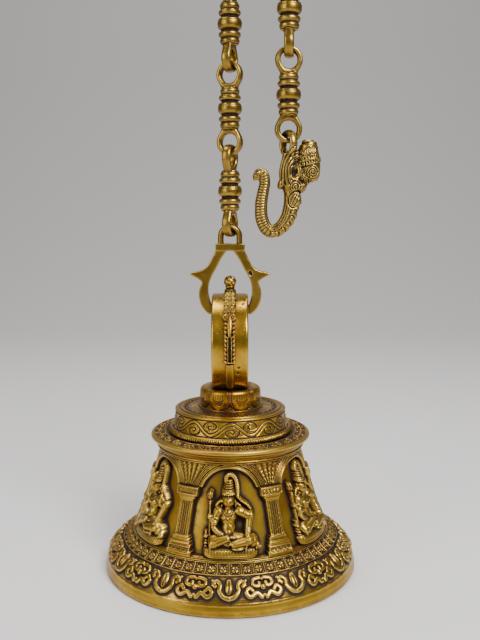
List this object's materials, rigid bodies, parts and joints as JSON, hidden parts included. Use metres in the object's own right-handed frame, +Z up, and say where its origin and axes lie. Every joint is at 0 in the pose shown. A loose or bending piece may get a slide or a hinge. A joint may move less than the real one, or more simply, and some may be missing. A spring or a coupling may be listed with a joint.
{
  "type": "temple bell on a link chain with a hook",
  "caption": "Cast brass temple bell with clapper, ring handle and stirrup, hung on a chain of turned links that ends in a hook shaped as a trunked head.",
  "frame": {"origin": "middle of the top link's bead, where the chain is carried; the bell axis runs down through the left-hand end of that link", "axes": "+Z up along the bell axis, -Y toward the front niche, +X toward the hook run"},
  "size_m": [0.2001, 0.2001, 0.4748],
  "materials": {
    "brass_cast": "satin",
    "brass_relief": "satin",
    "brass_polished": "polished",
    "bolt_steel": "dull zinc"
  },
  "bodies": {
    "top": {"top_link": "brass_cast"},
    "link_3": {"chain_link_3": "brass_cast"},
    "link_2": {"chain_link_2": "brass_cast"},
    "link_1": {"chain_link_1": "brass_cast"},
    "stirrup": {"stirrup_frame": "brass_cast", "stirrup_eye": "brass_cast", "stirrup_bar": "brass_polished"},
    "bell": {"bell_shell": "brass_cast", "arcade_columns": "brass_relief", "arcade_arches": "brass_relief", "niche_figures": "brass_relief", "lip_ornaments": "brass_relief", "frieze_studs": "brass_relief", "shoulder_cord": "brass_relief", "tier_cap": "brass_cast", "lotus_boss": "brass_cast", "ring_handle": "brass_polished", "ring_crest": "brass_relief", "crown_bolt": "bolt_steel", "crown_washer": "bolt_steel", "crown_nut": "bolt_steel"},
    "clapper": {"clapper_rod": "brass_cast", "clapper_ball": "brass_polished"},
    "link_4": {"chain_link_4": "brass_cast"},
    "link_5": {"chain_link_5": "brass_cast"},
    "hook": {"elephant_hook": "brass_cast"}
  },
  "joints": [
    {"name": "link_3_swing", "type": "hinge", "parent": "top", "child": "link_3", "pos_m": [-0.02184, 0.00795, -0.01515], "axis": [0.9397, -0.342, 0], "range_deg": [-30, 30]},
    {"name": "link_2_swing", "type": "hinge", "parent": "link_3", "child": "link_2", "pos_m": [-0.02184, 0.00795, -0.07705], "axis": [0.342, 0.9397, 0], "range_deg": [-3, 30]},
    {"name": "link_1_swing", "type": "hinge", "parent": "link_2", "child": "link_1", "pos_m": [-0.02184, 0.00795, -0.13895], "axis": [0.9397, -0.342, 0], "range_deg": [-30, 30]},
    {"name": "stirrup_swing", "type": "hinge", "parent": "link_1", "child": "stirrup", "pos_m": [-0.02184, 0.00795, -0.1988], "axis": [0, 1, 0], "range_deg": [-30, 30]},
    {"name": "bell_swing", "type": "hinge", "parent": "stirrup", "child": "bell", "pos_m": [-0.02184, 0.00795, -0.2559], "axis": [1, 0, 0], "range_deg": [-40, 40]},
    {"name": "clapper_swing", "type": "hinge", "parent": "bell", "child": "clapper", "pos_m": [-0.02184, 0.00795, -0.3831], "axis": [1, 0, 0], "range_deg": [-48, 48]},
    {"name": "link_4_swing", "type": "hinge", "parent": "top", "child": "link_4", "pos_m": [0.02184, -0.00795, -0.0075], "axis": [0.9962, -0.0872, 0], "range_deg": [-30, 30]},
    {"name": "link_5_swing", "type": "hinge", "parent": "link_4", "child": "link_5", "pos_m": [0.02184, -0.00795, -0.069], "axis": [0.0872, -0.9962, 0], "range_deg": [-3, 30]},
    {"name": "hook_swing", "type": "hinge", "parent": "link_5", "child": "hook", "pos_m": [0.02184, -0.00795, -0.12965], "axis": [0.9063, 0.4226, 0], "range_deg": [-30, 30]}
  ]
}
